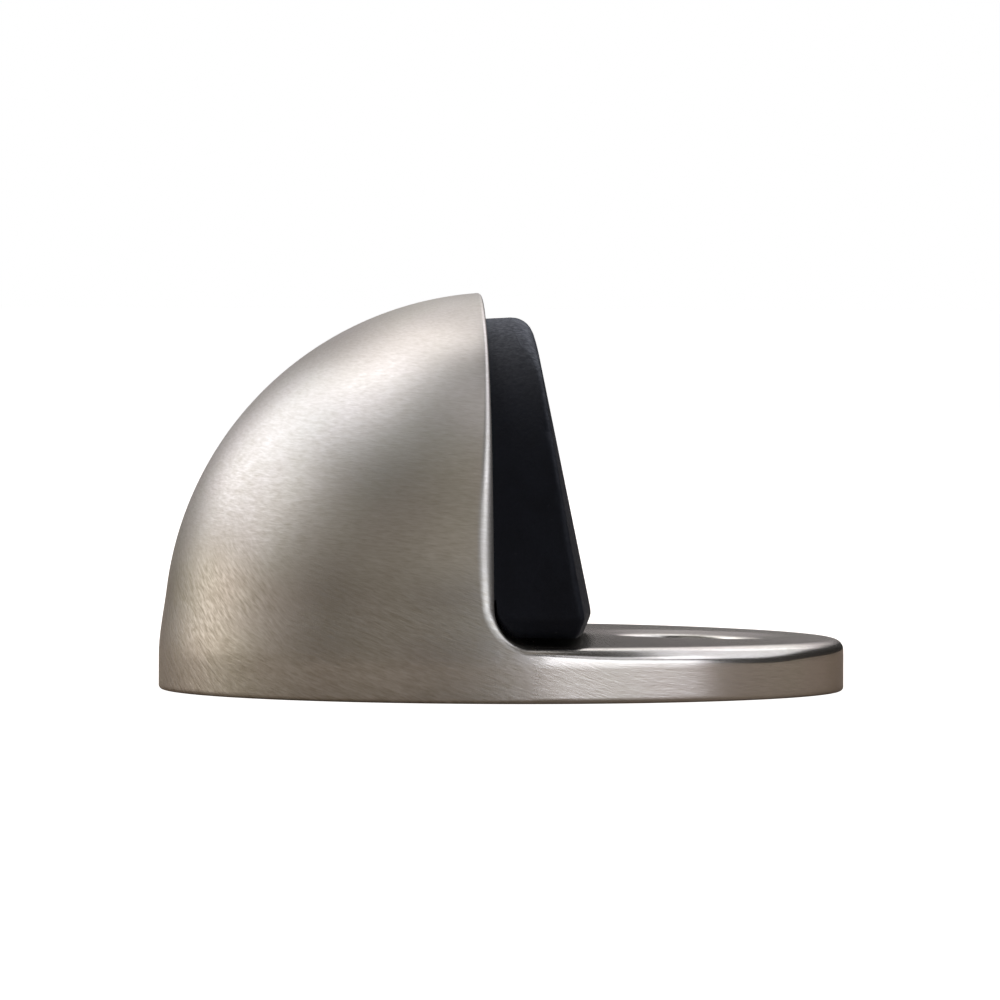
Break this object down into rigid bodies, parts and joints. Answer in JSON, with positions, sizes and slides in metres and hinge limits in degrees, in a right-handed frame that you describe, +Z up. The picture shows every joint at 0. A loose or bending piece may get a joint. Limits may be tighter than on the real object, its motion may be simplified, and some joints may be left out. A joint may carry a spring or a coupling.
{
  "type": "half-dome floor door stop",
  "caption": "Half-dome floor door stop: a cast half dome on a round screw-down base plate, with a sloping black rubber buffer on its upright face.",
  "frame": {"origin": "centre of the round base on the floor plane", "axes": "+Z up, the screw hole's axis; +X the way the rubber buffer faces; +Y to the left of the buffer seen from behind the dome"},
  "size_m": [0.045, 0.045, 0.026],
  "materials": {
    "satin_nickel": "warm satin nickel plate, brushed",
    "black_rubber": "moulded, slightly sheened black rubber",
    "zinc_plated_steel": "bright zinc plate"
  },
  "bodies": {
    "root": {"stop_body": "satin_nickel", "rubber_buffer": "black_rubber", "buffer_plate": "zinc_plated_steel", "buffer_studs": "zinc_plated_steel", "stud_washers": "zinc_plated_steel", "stud_nuts": "zinc_plated_steel"}
  },
  "joints": []
}
